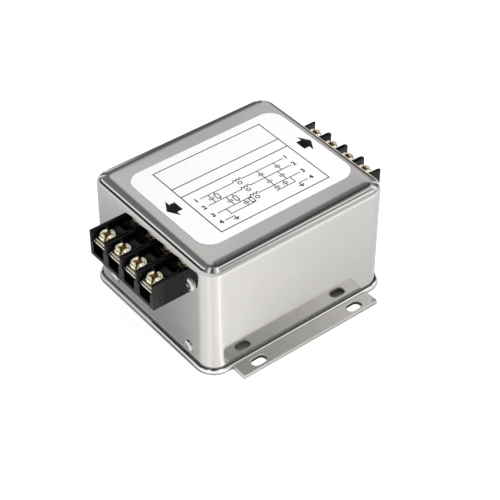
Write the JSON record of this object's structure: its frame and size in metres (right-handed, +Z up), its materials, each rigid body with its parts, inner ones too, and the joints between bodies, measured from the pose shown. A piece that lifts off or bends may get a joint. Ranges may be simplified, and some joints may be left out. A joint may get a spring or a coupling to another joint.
{
  "type": "emi line filter",
  "caption": "Boxed EMI line filter: a drawn metal can on a base plate with slotted ears, a screw barrier terminal strip through each end wall and a label on top.",
  "frame": {"origin": "middle of the base plate's underside", "axes": "+Z up out of the label, +X from the line end to the load end, the ears at low and high Y"},
  "size_m": [0.1326, 0.1108, 0.0613],
  "materials": {
    "plated_can": "bright nickel plate",
    "plated_base": "bright nickel plate, slightly dull",
    "label_paper": "white gloss-coated label",
    "black_plastic": "moulded, glossy black",
    "bar_brass": "plated brass, pale gold",
    "clamp_steel": "zinc plated steel, pale gold",
    "spring_steel": "spring steel, dark",
    "screw_steel": "zinc plated steel, pale gold",
    "rivet_aluminium": "plain aluminium",
    "angle_steel": "zinc plated steel",
    "insulating_film": "pale film",
    "board_laminate": "green glass-fibre laminate",
    "spacer_brass": "turned brass",
    "board_screw_steel": "zinc plated steel",
    "core_ferrite": "ferrite ring in its moulded case",
    "copper_wire": "enamelled copper wire",
    "capacitor_box": "yellow plastic box",
    "earth_ceramic": "blue coated ceramic disc",
    "resistor_coat": "coated ceramic body",
    "lead_sleeve": "plastic insulation"
  },
  "bodies": {
    "root": {"base_plate": "plated_base", "base_rivets": "rivet_aluminium", "board_screws": "board_screw_steel", "board_spacers": "spacer_brass", "case_can": "plated_can", "choke_core": "core_ferrite", "choke_winding_1": "copper_wire", "choke_winding_2": "copper_wire", "choke_winding_3": "copper_wire", "circuit_board": "board_laminate", "discharge_resistor_1": "resistor_coat", "discharge_resistor_2": "resistor_coat", "discharge_resistor_3": "resistor_coat", "earth_capacitor_1": "earth_ceramic", "earth_capacitor_2": "earth_ceramic", "earth_capacitor_3": "earth_ceramic", "insulating_sheet": "insulating_film", "line_capacitor_1": "capacitor_box", "line_capacitor_2": "capacitor_box", "line_capacitor_3": "capacitor_box", "line_clamp_plates": "clamp_steel", "line_contact_bar_1": "bar_brass", "line_contact_bar_2": "bar_brass", "line_contact_bar_3": "bar_brass", "line_contact_bar_4": "bar_brass", "line_end_angle": "angle_steel", "line_lead_1": "lead_sleeve", "line_lead_2": "lead_sleeve", "line_lead_3": "lead_sleeve", "line_lead_4": "lead_sleeve", "line_spring_washers": "spring_steel", "line_strip_rivets": "rivet_aluminium", "line_terminal_body": "black_plastic", "line_terminal_screws": "screw_steel", "load_capacitor_1": "capacitor_box", "load_capacitor_2": "capacitor_box", "load_capacitor_3": "capacitor_box", "load_clamp_plates": "clamp_steel", "load_contact_bar_1": "bar_brass", "load_contact_bar_2": "bar_brass", "load_contact_bar_3": "bar_brass", "load_contact_bar_4": "bar_brass", "load_end_angle": "angle_steel", "load_lead_1": "lead_sleeve", "load_lead_2": "lead_sleeve", "load_lead_3": "lead_sleeve", "load_lead_4": "lead_sleeve", "load_spring_washers": "spring_steel", "load_strip_rivets": "rivet_aluminium", "load_terminal_body": "black_plastic", "load_terminal_screws": "screw_steel", "rating_label": "label_paper"}
  },
  "joints": []
}
